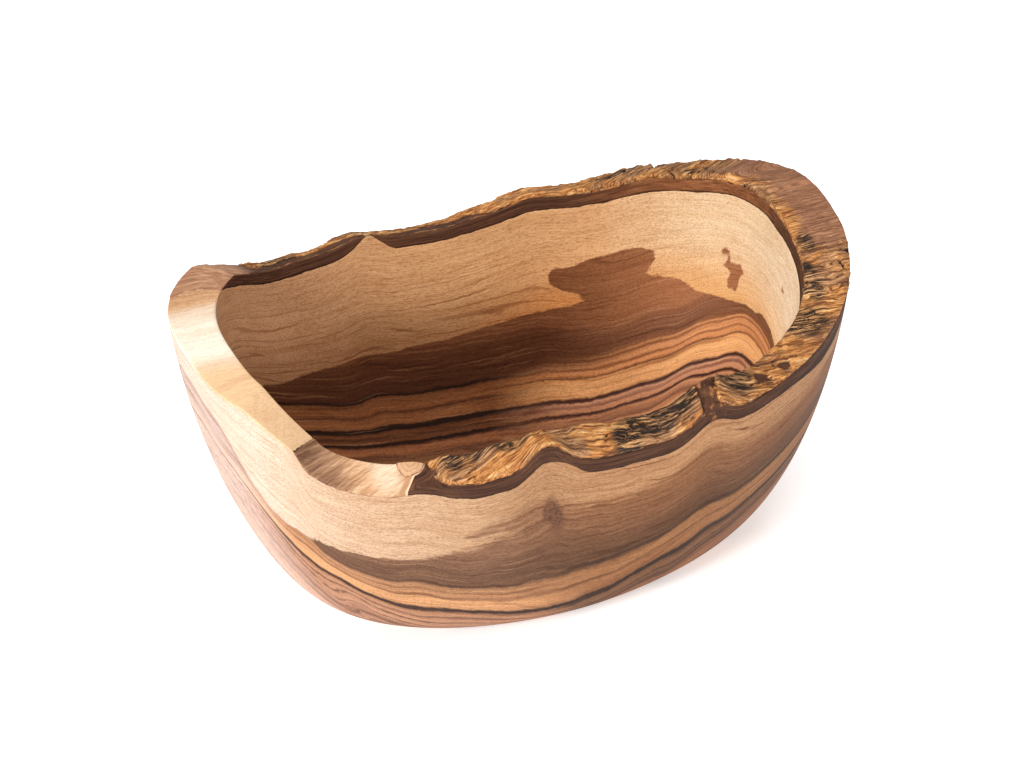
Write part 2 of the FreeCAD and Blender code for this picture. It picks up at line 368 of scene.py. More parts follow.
# ---- meshes -----------------------------------------------------------------------------
def make_mesh(name, rows, fields):
    """A closed skin over rows of points, (row, column, xyz), with a middle point at each end.

    fields holds a number or a vector for each point, which the materials read by name.
    """
    row_count, column_count, _ = rows.shape
    index = np.arange(row_count * column_count).reshape(row_count, column_count)
    around = np.roll(index, -1, axis=1)
    faces = np.stack([index[:-1], around[:-1], around[1:], index[1:]], -1).reshape(-1, 4).tolist()
    first, last = index.size, index.size + 1
    faces += [[int(b), int(a), first] for a, b in zip(index[0], around[0])]
    faces += [[int(a), int(b), last] for a, b in zip(index[-1], around[-1])]

    def with_ends(values):
        values = values.reshape(row_count, column_count, -1)
        return np.vstack([values.reshape(index.size, -1), values[0].mean(0), values[-1].mean(0)])

    mesh = bpy.data.meshes.new(name)
    mesh.from_pydata((with_ends(rows) * MM).tolist(), [], faces)
    for key, values in fields.items():
        values = with_ends(values).astype(np.float32)
        kind, part = ("FLOAT_VECTOR", "vector") if values.shape[1] == 3 else ("FLOAT", "value")
        mesh.attributes.new(key, kind, "POINT").data.foreach_set(part, values.ravel())
    mesh.polygons.foreach_set("use_smooth", np.ones(len(mesh.polygons), bool))
    mesh.update()
    return mesh


def corner(before, at, after, count):
    """A rounded corner: a curve from before to after that is drawn towards at."""
    share = np.linspace(0.0, 1.0, count)[:, None, None]
    return (1 - share) ** 2 * before + 2 * share * (1 - share) * at + share ** 2 * after


def over_rim(before, outer_edge, inner_edge, after, radii, surface, count, bends):
    """Rows from the outer wall over the rim, with both edges rounded, to the inner wall."""
    outer_radius, inner_radius = radii
    width = np.hypot(*(outer_edge - inner_edge)[:, :2].T)

    def top_row(share):
        row = between(outer_edge, inner_edge, share[:, None])
        row[:, 2] = surface(row[:, 0], row[:, 1])
        return row

    level = [top_row(between(outer_radius, width - inner_radius, share) / width)
             for share in np.linspace(0.0, 1.0, count)[1:-1]]
    outer_bend = corner(before, outer_edge, top_row(outer_radius / width), bends)[1:]
    inner_bend = corner(top_row((width - inner_radius) / width), inner_edge, after, bends)[:-1]
    return [*outer_bend, *level, *inner_bend]


def wall_points(wall, t, z, inset=0.0):
    """Points of a wall, moved by inset away from its own outside."""
    x, y = wall(t, z)
    step = 1e-3
    x2, y2 = wall(t + step, z)
    x1, y1 = wall(t - step, z)
    length = np.hypot(x2 - x1, y2 - y1)
    side = 1.0 if wall is inner_wall else -1.0
    normal_x, normal_y = side * (y2 - y1) / length, -side * (x2 - x1) / length
    return np.stack([x + inset * normal_x, y + inset * normal_y, np.broadcast_to(z, x.shape)], -1)


# ---- pattern of the wood ----------------------------------------------------------------
# Each point is a distance along the wall and a depth under the bark, in mm. A wall has the same
# pattern inside and outside. The first two are the outlines of the dark heartwood.
HIGH_HEARTWOOD = ((-95, 40.5), (-82, 38.5), (-61, 38), (-48, 38.5), (-33, 40), (-20, 38.4), (0, 37.5),
    (22, 38), (34, 39.3), (42, 38.4), (50, 36.4), (46, 34.6), (40, 33), (35.5, 30.5), (34, 28), (36, 25.2),
    (43, 24.4), (52, 22.7), (60, 22.2), (66, 23.2), (70, 24.6), (72, 27), (70.5, 29.5), (69, 31.5),
    (71, 33), (76, 34.5), (81, 35), (84, 36.2), (87, 38.4), (92, 39), (100, 39.3), (109, 37), (116, 36),
    (120, 33.6), (130, 33), (190, 36), (190, 130), (-200, 130), (-200, 42))
LOW_HEARTWOOD = ((-160, 20), (-138, 21), (-131, 21.5), (-126, 24), (-121, 30), (-118, 34), (-113, 38),
    (-108, 39.5), (-103, 38), (-100.5, 35), (-98, 31), (-93, 28.5), (-87, 27.5), (-77, 27), (-67, 26.5),
    (-63, 25), (-59, 23.5), (-51, 21), (-39, 19.5), (-31, 19.7), (-37, 17.3), (-46, 17.8), (-50, 16.8),
    (-48, 15.5), (-37, 13.6), (-26, 12.6), (-12, 14), (18, 13.5), (36, 11.5), (51, 14), (63, 13), (85, 13),
    (100, 12), (200, 14), (200, 130), (-220, 130), (-220, 22))
# dark spots in the pale wood of the high wall: centre and half sizes
HIGH_SPOTS = (((100.6, 30.6), (2.9, 3.9)), ((100.4, 28.2), (4.4, 1.8)), ((95.6, 23.6), (1.7, 1.4)),
              ((93.6, 24.8), (1.1, 0.5)), ((97.2, 26.2), (0.6, 1.3)), ((131, 17.6), (1.3, 1.2)))
# the main dark ring of each wall: its course, and its depth where the colours below are given
HIGH_RING = ((-100, 53), (-75, 56), (-61, 60), (-48, 63.5), (-33, 64.2), (-14, 64.4), (10, 65.5),
    (34, 68.5), (47, 70), (60, 70.3), (75, 68.6), (84, 67.2), (92, 62.4), (100, 59), (109, 53.5), (130, 47),
    (160, 45))
LOW_RING = ((-170, 31), (-138, 31.5), (-128, 34), (-121, 38.5), (-117, 42), (-110, 46.5), (-104, 47.2),
    (-99, 43.5), (-90, 45), (-81, 46), (-70, 44), (-59, 43.5), (-46, 44.5), (-31, 45), (0, 43.5),
    (18, 42.3), (36, 39.3), (42, 39), (51, 40.6), (63, 39.2), (75, 38.5), (100, 39), (150, 40))
HIGH_RING_DEPTH = 63.0
LOW_RING_DEPTH = 44.0
# the small knot in the low wall and the smudge under it: along, depth and half sizes
KNOT_EYE = (-18.0, 17.2, 4.4, 4.4)
KNOT_SMUDGE = (-24.5, 28.0, 3.2, 2.6)


def blob(x, y, centre_x, centre_y, half_x, half_y):
    return np.exp(-((x - centre_x) / half_x) ** 2 - ((y - centre_y) / half_y) ** 2)


def wood_fields(rows, along_low, along_high, far):
    """What the material needs to know at each point of the wood. far is 1 in the high wall's pattern."""
    x, y, z = np.moveaxis(rows, -1, 0)
    along = between(along_low, along_high, far)
    depth = log_depth(x, y, z)
    arc = LOG_RADIUS * np.arctan2(y - LOG_AXIS_Y, np.abs(z - LOG_AXIS_Z) + 8.0)
    waver = 0.5 * noise(along / 7.0, depth / 5.0, 11) + 0.25 * noise(along / 2.6, depth / 2.2, 12)
    high = outline_distance(along_high, depth + 0.6 * waver, HIGH_HEARTWOOD)
    for (centre_x, centre_y), (half_x, half_y) in HIGH_SPOTS:
        jagged = 1.0 + 0.5 * noise(along_high / 1.6, depth / 1.6, 13)
        reach = np.hypot((along_high - centre_x) / half_x, (depth - centre_y) / half_y)
        high = np.maximum(high, (jagged - reach) * min(half_x, half_y))
    low = outline_distance(along_low, depth + 1.2 * waver, LOW_HEARTWOOD)
    fade = smooth(depth, 14.0, 46.0)
    high_ring = depth - fade * (through(along_high, HIGH_RING) - HIGH_RING_DEPTH)
    low_ring = depth - fade * (through(along_low, LOW_RING) - LOW_RING_DEPTH)
    # the small knot is narrower towards the bark, and the rings bend round it
    eye_along, eye_depth, eye_width, eye_height = KNOT_EYE
    eye_width = eye_width * (0.45 + 0.55 * smooth(depth, 10.0, 20.0))
    knot = blob(along_low, depth, eye_along, eye_depth, eye_width, eye_height)
    knot = (knot + 0.65 * blob(along_low, depth, *KNOT_SMUDGE)) * (1.0 - far) * (1.0 + 0.9 * waver)
    bent = blob(along_low, depth, eye_along, eye_depth, 5.0, 8.0)
    low_ring = low_ring + 2.6 * bent * np.tanh((depth - eye_depth) / 3.0)
    return {"grain": np.stack([x, depth, arc], -1), "ring": between(low_ring, high_ring, far),
            "heart": between(low, high, far), "along": along, "far": far, "knot": knot}


# ---- pieces --------------------------------------------------------------------------------
def build_wood():
    t = even_angles(outer_wall, 0.0, TURN, WOOD_COLUMNS + 1)[:-1]
    outer_top = meet(outer_wall, t, wood_surface)
    inner_top = meet(inner_wall, t, wood_surface)
    # the rim is rounded where it is bare, and sharp where bark lies on it
    at = outer_wall(t, outer_top)
    bare = 1.0 - smooth(inner_bark_top(*at) - outer_top, 0.0, 0.8)
    bare = np.where(sanded_height(*at) - outer_top < 0.3, 1.0, bare)
    radius = between(SHARP_EDGE, SANDED_EDGE, bare)
    low_ruler = {wall: along_wall(wall, t, True) for wall in (outer_wall, inner_wall)}
    high_ruler = {wall: along_wall(wall, t, False) for wall in (outer_wall, inner_wall)}
    rows, along_low, along_high, far = [], [], [], []

    def add(row, wall):
        """Add a row of points. wall is None on the underside and on the floor of the hollow."""
        x, y = row[:, 0], row[:, 1]
        rows.append(row)
        along_low.append(low_ruler.get(wall, x))
        along_high.append(high_ruler.get(wall, x))
        # the two walls' patterns pass into each other round the ends, and between the walls' feet
        if wall is outer_wall:
            start = between(12.0, -12.0, smooth(x, 60.0, 95.0))
            far.append(smooth(y, start, start + 28.0))
        elif wall is inner_wall:
            far.append(1.0 - smooth(np.abs(high_ruler[wall]), 175.0, 205.0))
        else:
            far.append(smooth(y, -14.0, 14.0))

    outside_rows, rim_rows, inside_rows = WOOD_ROWS
    foot = wall_points(outer_wall, t, np.zeros(len(t)))
    for share in RING_SHARES:
        add(between(foot.mean(0), foot, share), None)
    for share in np.linspace(0.0, 1.0, outside_rows):
        add(wall_points(outer_wall, t, (outer_top - radius) * share ** TOWARDS_RIM), outer_wall)
    outer_edge, inner_edge = wall_points(outer_wall, t, outer_top), wall_points(inner_wall, t, inner_top)
    down = wall_points(inner_wall, t, inner_top - radius)
    for row in over_rim(rows[-1], outer_edge, inner_edge, down, (radius, radius), wood_surface, rim_rows, 5):
        add(row, outer_wall)
    for share in np.linspace(1.0, 0.0, inside_rows):
        level = FLOOR_THICKNESS + (inner_top - radius - FLOOR_THICKNESS) * share ** TOWARDS_RIM
        add(wall_points(inner_wall, t, level), inner_wall)
    floor = rows[-1]
    for share in RING_SHARES[::-1]:
        add(between(floor.mean(0), floor, share), None)
    rows, along_low, along_high, far = (np.array(values) for values in (rows, along_low, along_high, far))
    return make_mesh("wood_body", rows, wood_fields(rows, along_low, along_high, far))


def bark_band(name, outer_ends, inner_ends, bottom_of, top_of, rows_on_top, round_by, fields_of,
              wobble=0.0):
    """A bar of bark that follows the rim, between two height fields, closed at both ends."""
    def wall_rows(wall, t):
        """Up the wall: first a row sunk in the layer below, then from the line between the layers."""
        bottom = meet(wall, t, bottom_of)
        top = np.maximum(meet(wall, t, top_of), bottom - BURIED)
        radius = np.minimum(round_by, np.maximum(top - bottom, 0.0) * 0.45)
        # where the bark has hardly any thickness, it draws back into the wall
        gone = smooth(bottom + 0.25 - top, 0.0, 0.3) * 0.4
        rows = [wall_points(wall, t, bottom - SUNK, SUNK)]
        for share in np.linspace(0.0, 1.0, BARK_WALL_ROWS):
            z = between(bottom, top - radius, share)
            x, y = wall(t, z)
            bulge = math.sin(math.pi * min(share * 1.4, 1.0))
            push = wobble * (bulge * rough_noise(x / 3.0, y / 3.0, 3, 41, z / 1.2) - 0.2)
            rows.append(wall_points(wall, t, z, gone - push))
        return rows, wall_points(wall, t, top, gone), radius

    def surface(x, y):
        return np.maximum(top_of(x, y), bottom_of(x, y) - BURIED)

    outer_angles = even_angles(outer_wall, *outer_ends)
    inner_angles = even_angles(inner_wall, *inner_ends, len(outer_angles))
    outer_rows, outer_edge, outer_radius = wall_rows(outer_wall, outer_angles)
    inner_rows, inner_edge, inner_radius = wall_rows(inner_wall, inner_angles)
    rim = over_rim(outer_rows[-1], outer_edge, inner_edge, inner_rows[-1], (outer_radius, inner_radius),
                   surface, rows_on_top, 4)
    # closed around the section, with the bar's ends as its first and last row
    section = np.swapaxes(np.array(outer_rows + rim + inner_rows[::-1]), 0, 1)
    return make_mesh(name, section, fields_of(section))


def bark_ends():
    """Angles, on both walls, at which the inner bark starts and stops at the pale end."""
    ends = []
    for wall in (outer_wall, inner_wall):
        t = np.linspace(0.6 * math.pi, 1.45 * math.pi, 6001)
        x, y = wall(t, meet(wall, t, wood_surface))
        bare = np.nonzero(wood_top(x, y) > sanded_height(x, y))[0]
        overlap = 0.012
        ends.append((t[bare[-1]] - overlap, t[bare[0]] + overlap + TURN))
    return ends


def build_inner_bark():
    low_last, low_next = LOW_CRUST_BREAK

    def top(x, y):
        level = sanded_height(x, y)
        missing = np.clip(wood_top(x, y) - level, 0.0, 0.35)
        # lumps of crust are left on the bridge between two plates
        lumps = 0.7 * rough_noise(x / 2.6, y / 3.2, 3, 61) * smooth(-y, 20.0, 30.0)
        lumps = lumps * smooth(x, low_last - 2.0, low_last + 1.0)
        lumps = lumps * (1.0 - smooth(x, low_next - 1.0, low_next + 2.0))
        return np.minimum(inner_bark_top(x, y) + lumps, level) - missing

    def fields(rows):
        x, y, z = np.moveaxis(rows, -1, 0)
        arc = LOG_RADIUS * np.arctan2(y - LOG_AXIS_Y, z - LOG_AXIS_Z)
        past = past_sanding_edge(x, y)
        on_corner = smooth(past, -0.3, 0.2) * smooth(z - sanded_skin(x, y), -1.4, -1.0)
        at_top = smooth(z - sanded_height(x, y), -1.2, -0.8)
        on_flat = smooth(inner_bark_top(x, y) - RIM_HEIGHT, 0.0, 0.6) * at_top
        worn = smooth(-x, 70.0, 78.0) * smooth(y, 20.0, 30.0)
        # above 0 in the pale crack along the sanding's edge, below 0 in the border beside it
        border = smooth(past, 0.5, 1.2) * (1.0 - smooth(past, 1.6, 5.0))
        line = (np.exp(-((past - 0.1) / 0.38) ** 2) - 0.8 * border) * smooth(-y, 55.2, 56.4)
        return {"grain": np.stack([x, log_depth(x, y, z), arc], -1), "line": line,
                "sanded": np.maximum(np.maximum(on_corner, on_flat), worn)}

    return bark_band("inner_bark", *bark_ends(), wood_surface, top, 36, 0.5, fields)


def strand_lines(x, y):
    """A coordinate that is level along the bark's strands, which lean across the rim in two places."""
    arc = LOG_RADIUS * np.arcsin(np.clip((y - LOG_AXIS_Y) / LOG_RADIUS, -1.0, 1.0))
    low_lean = 2.64 * np.logaddexp(0.0, (-x - 6.0) / 8.0) * smooth(-y, 5.0, 30.0)
    high_lean = -4.8 * np.logaddexp(0.0, (x - 45.0) / 8.0) * smooth(y, 10.0, 30.0)
    bend = 0.9 * noise(x / 24.0, arc / 12.0, 21) + 0.25 * noise(x / 8.0, arc / 4.0, 22)
    return arc, arc + low_lean + high_lean + bend


def crust_thickness(x, y):
    """Height of the crust over the inner bark: long strands, cracks between them and worn places."""
    arc, across = strand_lines(x, y)
    strands = ridges(x / 20.0, across / 2.1, 2, 23)
    fine_strands = ridges(x / 9.0, across / 0.9, 2, 24)
    lumps = rough_noise(x / 11.0, arc / 7.0, 3, 25)
    plates = rough_noise(x / 12.0, across / 5.0, 2, 26)
    crack = smooth(1.0 - np.abs(noise(x / 9.0, across / 1.25, 27)) * 7.0, 0.0, 1.0)
    crack = crack * smooth(plates, 0.0, 0.35)
    flake = smooth(np.abs(noise(x / 3.6, across / 2.2, 28)), 0.35, 0.8)
    worn = worn_share(x, y)
    rough = 0.55 * strands + 0.32 * fine_strands + 0.75 * lumps - 1.3 * crack - 0.5 * flake
    calm = 0.12 * strands + 0.25 * lumps + 0.06 * fine_strands
    thin = smooth(y, -59.0, -52.0) * smooth(-y, 20.0, 45.0)
    # the high side's crust is thin, and gone along its inner edge
    inner_y = np.interp(x, *inner_wall(np.linspace(math.pi, 0.0, 801), RIM_HEIGHT))
    inner_y = inner_y + 1.6 * noise(x / 7.0, y / 30.0, 29) + 0.6 * noise(x / 2.0, y / 9.0, 30)
    gone = (1.0 - smooth(y - inner_y, 3.2, 5.6)) * (1.0 - smooth(x, 2.0, 30.0)) * smooth(y, 20.0, 30.0)
    thin = thin + (1.5 + 4.0 * gone) * (1.0 - smooth(x, -10.0, 40.0)) * smooth(y, 20.0, 45.0)
    return CRUST - 0.1 - thin + between(rough, calm, worn), crack * (1.0 - worn)


def worn_share(x, y):
    """1 where the outer bark of the high end has worn smooth and brown."""
    edge = 2.5 * noise(x / 6.0, y / 6.0, 31) + 1.2 * noise(x / 2.2, y / 2.2, 32)
    outwards = smooth(x + 0.0105 * y * y + edge, 95.0, 99.0)
    return outwards * smooth(y + edge, -19.0, -14.0) * (1.0 - smooth(y + edge, 33.0, 41.0))


def build_crust(name, outer_ends, inner_ends, taper):
    """taper(x, y) is 0 at the piece's broken ends and 1 away from them."""
    def top(x, y):
        thickness, _ = crust_thickness(x, y)
        return inner_bark_top(x, y) + np.maximum(between(-BURIED, thickness, taper(x, y)), -BURIED)

    def fields(rows):
        x, y, z = np.moveaxis(rows, -1, 0)
        _, crack = crust_thickness(x, y)
        _, across = strand_lines(x, y)
        above = z - inner_bark_top(x, y)
        black_patch = np.zeros(x.shape)
        for centre_x, centre_y, half_x, half_y in BLACK_PATCHES:
            black_patch = np.maximum(black_patch, blob(x, y, centre_x, centre_y, half_x, half_y))
        return {"grain": np.stack([x, above, across], -1), "crack": crack, "worn": worn_share(x, y),
                "height": above, "black_patch": black_patch}

    return bark_band(name, outer_ends, inner_ends, inner_bark_top, top, 46, 0.9, fields, wobble=0.7)


# black patches of the crust: centre and half sizes in plan
BLACK_PATCHES = ((12.0, -60.5, 5.0, 5.5), (21.0, -56.0, 12.0, 4.2), (31.0, -54.0, 9.0, 4.0),
    (52.0, -50.5, 8.5, 3.4), (83.0, -38.0, 9.0, 4.0), (90.0, -27.0, 4.2, 7.0), (95.0, -14.0, 3.0, 4.0),
    (-46.0, -57.0, 4.0, 2.6), (-36.0, -56.0, 8.0, 2.2), (-26.0, -57.5, 6.0, 2.0), (-60.0, 55.0, 7.0, 4.0),
    (58.0, 52.0, 9.0, 3.0), (80.0, 38.0, 5.0, 3.0))


def low_wall_y(wall, x, z):
    """Y of a wall's low side at this X and height."""
    t_low, t_high = np.full(x.shape, math.pi), np.full(x.shape, TURN)
    for _ in range(26):
        middle = (t_low + t_high) / 2.0
        beyond = wall(middle, z)[0] > x
        t_low, t_high = np.where(beyond, t_low, middle), np.where(beyond, middle, t_high)
    return wall((t_low + t_high) / 2.0, z)[1]


def build_knot():
    """The dead branch stub: a round plug whose top follows the sanded rim, a little proud."""
    centre_x, centre_y = KNOT_CENTRE
    top_z = float(wood_top(centre_x, centre_y)) + SANDED_SKIN
    outward = np.array([0.0, centre_y - LOG_AXIS_Y, top_z - LOG_AXIS_Z])
    outward /= np.linalg.norm(outward)
    angle = np.linspace(0.0, TURN, KNOT_COLUMNS + 1)[:-1]
    rim = KNOT_RADIUS * (1.0 + 0.05 * np.sin(2 * angle + 0.6) + 0.03 * np.sin(5 * angle))

    def within_walls(x, y, z):
        outside, inside = low_wall_y(outer_wall, x, z), low_wall_y(inner_wall, x, z)
        return np.clip(y, outside - KNOT_PROUD, inside + KNOT_PROUD)

    def ring(share, lift):
        x = centre_x + share * rim * np.cos(angle)
        y = within_walls(x, centre_y + share * rim * np.sin(angle) * outward[2], np.full(x.shape, top_z))
        return np.stack([x, y, sanded_skin(x, y) + lift], -1)

    shares = np.linspace(0.03, 0.9, 22)
    rows = [ring(share, 0.16 - 0.06 * share + 0.02 * math.sin(share * 30.0)) for share in shares]
    rows += [ring(0.97, 0.06), ring(1.0, -0.06)]
    rows += [ring(1.0, 0.0) - outward * drop for drop in (0.6, 2.0, 5.0, 9.0)]
    rows = np.array(rows)[::-1]
    rows[..., 1] = within_walls(*np.moveaxis(rows, -1, 0))
    share = np.concatenate([np.ones(5), [0.97], shares[::-1]])
    fields = {"share": np.repeat(share[:, None], KNOT_COLUMNS, 1),
              "grain": rows - (centre_x, centre_y, top_z)}
    return make_mesh("rim_knot", rows, fields)


# ---- materials -------------------------------------------------------------------------
def colour(red, green, blue):
    """A screen colour from 0 to 255, as the light that Blender's nodes work in."""
    linear = [c / 255.0 / 12.92 if c <= 10 else ((c / 255.0 + 0.055) / 1.055) ** 2.4 for c in (red, green,
                                                                                               blue)]
    return (*linear, 1.0)


class Shader:
    """A material that is written as a formula. Its tones are screen colours or the output of a node."""
    def __init__(self, name):
        self.material = bpy.data.materials.new(name)
        self.material.use_nodes = True
        self.tree = self.material.node_tree
        self.tree.nodes.clear()

    def feed(self, socket, value):
        if isinstance(value, bpy.types.NodeSocket):
            self.tree.links.new(value, socket)
        else:
            socket.default_value = value

    def node(self, kind, *inputs, **settings):
        node = self.tree.nodes.new("ShaderNode" + kind)
        for key, value in settings.items():
            setattr(node, key, value)
        for socket, value in zip(node.inputs, inputs):
            self.feed(socket, value)
        return node

    def feed_by_name(self, node, values):
        for name, value in values.items():
            socket = next(s for s in node.inputs if name in (s.identifier, s.name))
            self.feed(socket, value)

    def math(self, operation, *values):
        return self.node("Math", *values, operation=operation).outputs[0]

    def add(self, a, b):
        return self.math("ADD", a, b)

    def times(self, first, *others):
        for other in others:
            first = self.math("MULTIPLY", first, other)
        return first

    def scaled(self, value, by, plus):
        return self.math("MULTIPLY_ADD", value, by, plus)

    def larger(self, a, b):
        return self.math("MAXIMUM", a, b)

    def step(self, value, low, high, first=0.0, last=1.0):
        """first below low, last above high, with a smooth S between."""
        return self.node("MapRange", value, low, high, first, last,
                         interpolation_type="SMOOTHSTEP").outputs[0]

    def mix(self, share, first, second, blend="MIX"):
        node = self.node("Mix", data_type="RGBA", blend_type=blend, clamp_factor=True)
        first, second = (colour(*tone) if isinstance(tone, tuple) else tone for tone in (first, second))
        self.feed_by_name(node, {"Factor_Float": share, "A_Color": first, "B_Color": second})
        return next(s for s in node.outputs if s.identifier == "Result_Color")

    def tint(self, base, share, tone):
        """Multiply base by a tone where share is 1."""
        return self.mix(share, base, self.mix(1.0, base, tone, "MULTIPLY"))

    def ramp(self, value, stops, low=0.0, high=1.0):
        """stops are (value, tone)."""
        node = self.node("ValToRGB", self.node("MapRange", value, low, high, 0.0, 1.0).outputs[0])
        elements = node.color_ramp.elements
        while len(elements) > 1:
            elements.remove(elements[-1])
        for index, (at, tone) in enumerate(stops):
            position = (at - low) / (high - low)
            element = elements[0] if index == 0 else elements.new(position)
            element.position = position
            element.color = colour(*tone)
        return node.outputs[0]

    def attribute(self, name, output="Fac"):
        return self.node("Attribute", attribute_name=name, attribute_type="GEOMETRY").outputs[output]

    def upward(self):
        """Z of the surface's normal."""
        return self.node("SeparateXYZ", self.node("NewGeometry").outputs["Normal"]).outputs[2]

    def noise(self, vector, scales, detail=3.0, rough=0.55):
        """Noise from 0 to 1, with this many cells per mm along each axis."""
        node = self.node("TexNoise", noise_dimensions="3D")
        stretched = self.node("VectorMath", vector, scales, operation="MULTIPLY").outputs[0]
        self.feed_by_name(node, {"Vector": stretched, "Scale": 1.0, "Detail": detail, "Roughness": rough})
        return node.outputs["Fac"]

    def finish(self, base, roughness, bump, distance, specular=0.4, glow=0.0):
        """distance is the height of the bump, in mm."""
        relief = self.node("Bump")
        self.feed_by_name(relief, {"Strength": 1.0, "Distance": distance * MM, "Height": bump})
        surface = self.node("BsdfPrincipled")
        self.feed_by_name(surface, {
            "Base Color": base, "Roughness": roughness, "Specular IOR Level": specular,
            "Normal": relief.outputs[0], "Emission Color": (1.0, 1.0, 1.0, 1.0), "Emission Strength": glow})
        self.node("OutputMaterial", surface.outputs[0])
        return self.material


DEEP = 110.0                   # the ramps run from the bark to this depth, mm

# Colours by depth under the bark, for the heartwood of the high wall: left half and right half.
HIGH_TONES_LEFT = ((0, (150, 96, 60)), (38, (116, 71, 44)), (41, (93, 54, 33)), (51.6, (80, 45, 27)),
    (52.2, (48, 27, 19)), (52.9, (50, 28, 19)), (53.4, (118, 74, 44)), (56, (140, 89, 53)),
    (57.6, (132, 82, 48)), (58.2, (74, 43, 27)), (58.8, (128, 80, 48)), (60.6, (148, 96, 58)),
    (62.2, (140, 90, 54)), (62.6, (46, 27, 20)), (64.2, (42, 25, 19)), (64.6, (104, 63, 38)),
    (65.6, (122, 75, 46)), (66.0, (56, 33, 24)), (66.5, (104, 64, 40)), (67.8, (118, 73, 45)),
    (68.3, (48, 29, 22)), (69.3, (54, 32, 23)), (69.9, (140, 88, 56)), (72, (160, 104, 68)),
    (73, (104, 65, 43)), (79, (180, 126, 84)), (80.5, (104, 64, 42)), (82, (180, 126, 82)),
    (92, (190, 134, 92)), (100, (165, 108, 70)), (104, (110, 66, 42)))
HIGH_TONES_RIGHT = ((0, (166, 110, 73)), (38, (168, 112, 75)), (42, (142, 94, 66)), (46.5, (128, 84, 58)),
    (48.6, (140, 90, 60)), (49.4, (208, 146, 95)), (50.3, (148, 92, 60)), (51.2, (214, 150, 98)),
    (52.5, (218, 152, 100)), (53.1, (158, 100, 64)), (54, (218, 151, 98)), (55.2, (208, 140, 89)),
    (55.8, (98, 60, 40)), (56.4, (228, 164, 104)), (58.5, (240, 182, 122)), (62, (238, 174, 114)),
    (62.5, (84, 52, 42)), (63.5, (72, 45, 38)), (64.0, (214, 158, 122)), (65.4, (150, 100, 78)),
    (65.9, (208, 150, 112)), (67.0, (204, 144, 104)), (67.4, (78, 48, 38)), (68.2, (90, 56, 44)),
    (68.7, (206, 146, 104)), (71.6, (130, 84, 60)), (72.4, (214, 152, 106)), (79, (216, 154, 106)),
    (81, (130, 84, 58)), (83, (212, 152, 106)), (100, (176, 116, 76)), (104, (110, 66, 42)))
# The same for the low wall, towards the pale end and towards the other end.
LOW_TONES_LEFT = ((0, (170, 126, 96)), (26, (134, 98, 74)), (31, (112, 80, 60)), (33.6, (118, 84, 62)),
    (34.1, (72, 48, 37)), (34.7, (140, 100, 72)), (36.0, (196, 146, 104)), (36.5, (150, 106, 74)),
    (37.2, (190, 140, 100)), (38.4, (182, 132, 94)), (38.9, (134, 92, 64)), (39.6, (214, 160, 112)),
    (42.7, (216, 162, 114)), (43.3, (66, 42, 34)), (44.4, (62, 40, 33)), (44.9, (170, 122, 90)),
    (46.6, (190, 142, 108)), (47.1, (92, 62, 49)), (47.6, (176, 128, 98)), (49.3, (194, 146, 114)),
    (49.8, (108, 74, 58)), (50.4, (184, 136, 106)), (52.6, (196, 148, 116)), (53.2, (112, 76, 60)),
    (53.9, (190, 142, 112)), (58, (120, 82, 64)), (59, (196, 148, 118)), (64, (124, 86, 66)),
    (65, (200, 150, 118)), (95, (196, 142, 104)), (104, (110, 70, 48)))
LOW_TONES_RIGHT = ((0, (174, 126, 88)), (14, (154, 110, 80)), (22, (140, 100, 74)), (27, (116, 82, 60)),
    (32, (104, 73, 52)), (33.2, (64, 43, 32)), (33.9, (104, 74, 52)), (34.6, (162, 118, 82)),
    (37.6, (174, 126, 88)), (38.2, (128, 90, 62)), (39.2, (168, 120, 84)), (41.4, (164, 116, 80)),
    (42.8, (150, 106, 74)), (43.4, (60, 40, 31)), (44.8, (58, 39, 30)), (45.4, (120, 84, 60)),
    (48, (138, 98, 70)), (48.6, (74, 50, 38)), (49.3, (132, 92, 66)), (51.0, (84, 56, 43)),
    (52.5, (140, 98, 70)), (58, (170, 120, 86)), (60, (104, 70, 52)), (63, (180, 128, 92)),
    (72, (190, 136, 96)), (75, (120, 80, 58)), (79, (190, 136, 98)), (95, (190, 136, 98)),
    (104, (110, 70, 48)))
# Colours of the sapwood by the distance along each wall, with painted light in them: the high wall's
# brighten towards its lit right end and darken on its shaded left, and the low wall's are whitened
# and greyed towards the pale end by a painted highlight.
HIGH_SAP = ((-95, (206, 160, 120)), (-60, (214, 164, 122)), (-25, (220, 170, 122)), (20, (222, 172, 122)),
    (50, (232, 184, 134)), (84, (238, 208, 168)), (120, (242, 216, 180)), (136, (250, 228, 196)))
LOW_SAP = ((-160, (226, 206, 190)), (-112, (226, 205, 186)), (-98, (216, 190, 164)), (-80, (211, 178, 147)),
    (-45, (206, 167, 130)), (-28, (186, 144, 106)), (0, (194, 147, 106)), (60, (198, 150, 108)),
    (110, (194, 150, 110)), (160, (206, 162, 120)))


